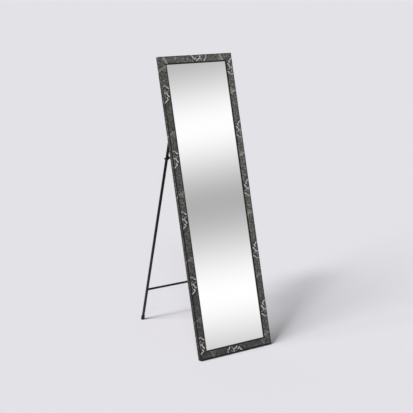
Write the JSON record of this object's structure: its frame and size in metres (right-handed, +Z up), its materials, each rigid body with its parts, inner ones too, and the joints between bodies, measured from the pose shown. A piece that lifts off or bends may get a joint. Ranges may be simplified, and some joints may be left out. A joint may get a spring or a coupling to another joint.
{
  "type": "floor mirror",
  "caption": "Tall framed floor mirror that leans on a folding tube stand, held open by curved hook stays.",
  "frame": {"origin": "on the floor, at the middle of the overall box seen from above", "axes": "+X to the right seen from the front, +Y from the mirror's face toward the stand behind it, +Z up"},
  "size_m": [0.435, 0.6906, 1.4996],
  "materials": {
    "printed_moulding": "satin grey and black stone-pattern foil on fibreboard moulding",
    "mirror_glass": "polished",
    "backing_board": "raw hardboard",
    "black_metal": "satin black powder coat",
    "black_fastener": "black oxide",
    "bright_fastener": "zinc plated",
    "black_rubber": "matte"
  },
  "bodies": {
    "frame": {"frame_top": "printed_moulding", "frame_bottom": "printed_moulding", "frame_left": "printed_moulding", "frame_right": "printed_moulding", "corner_wedges": "bright_fastener", "mirror_glass": "mirror_glass", "backing_board": "backing_board", "retaining_points": "bright_fastener", "hinge_bracket_left": "black_metal", "hinge_bracket_right": "black_metal", "stay_bracket_left": "black_metal", "stay_bracket_right": "black_metal", "bracket_screws": "black_fastener", "hinge_bolts": "black_fastener", "hinge_nuts": "bright_fastener", "stay_rivets": "bright_fastener"},
    "stand": {"leg_left": "black_metal", "leg_right": "black_metal", "crossbar": "black_metal", "foot_cap_left": "black_rubber", "foot_cap_right": "black_rubber", "stay_bolts": "black_fastener", "stay_spacers": "black_fastener", "stay_nuts": "black_fastener"},
    "left_stay": {"stay_left": "black_metal"},
    "right_stay": {"stay_right": "black_metal"}
  },
  "joints": [
    {"name": "stand_fold", "type": "hinge", "parent": "frame", "child": "stand", "pos_m": [0, -0.00376, 1.0948], "axis": [-1, 0, 0], "range_deg": [0, 32.6]},
    {"name": "left_stay_swing", "type": "hinge", "parent": "frame", "child": "left_stay", "pos_m": [-0.18455, -0.03075, 0.99747], "axis": [1, 0, 0], "range_deg": [0, 80]},
    {"name": "right_stay_swing", "type": "hinge", "parent": "frame", "child": "right_stay", "pos_m": [0.18455, -0.03075, 0.99747], "axis": [1, 0, 0], "range_deg": [0, 80]}
  ]
}
